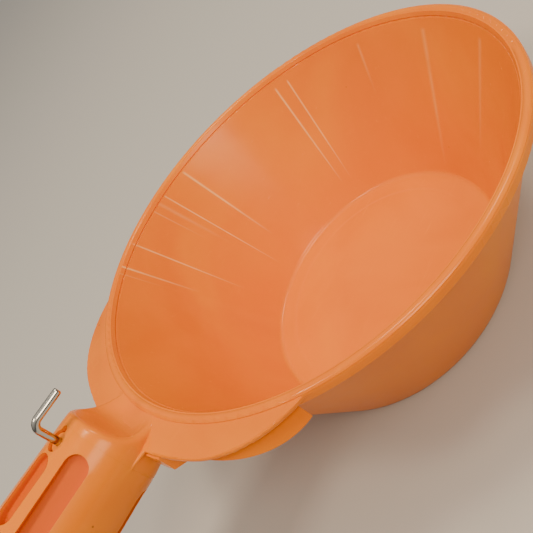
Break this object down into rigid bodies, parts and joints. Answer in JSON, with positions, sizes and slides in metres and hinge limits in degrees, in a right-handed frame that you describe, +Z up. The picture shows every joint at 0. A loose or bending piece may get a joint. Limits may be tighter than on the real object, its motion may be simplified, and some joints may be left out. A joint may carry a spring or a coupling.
{
  "type": "dipper scoop",
  "caption": "Conical moulded scoop with a flanged neck, a fluted socket for a round pole and a bent wire pin that locks the pole.",
  "frame": {"origin": "centre of the flat underside of the bowl's base, on the floor that the scoop stands on", "axes": "+Z up, -X along the handle away from the bowl, the handle rising 3.6 degrees; +Y to the left of someone who looks along +X"},
  "size_m": [0.3112, 0.1978, 0.1127],
  "materials": {
    "orange_plastic": "glossy injection-moulded orange",
    "bush_plastic": "glossy orange, slightly darker",
    "pin_steel": "bright zinc-plated wire"
  },
  "bodies": {
    "scoop": {"bowl": "orange_plastic", "neck_cradle": "orange_plastic", "handle_socket": "orange_plastic"},
    "bush": {"pin_bush": "bush_plastic"},
    "pin": {"locking_pin": "pin_steel"}
  },
  "joints": [
    {"name": "pin_swivel", "type": "hinge", "parent": "scoop", "child": "bush", "pos_m": [-0.11721, 0, 0.10281], "axis": [0.0889, 0, 0.996], "continuous": true},
    {"name": "pin_pull", "type": "slide", "parent": "bush", "child": "pin", "axis": [0.0889, 0, 0.996], "range_m": [0, 0.033]}
  ]
}
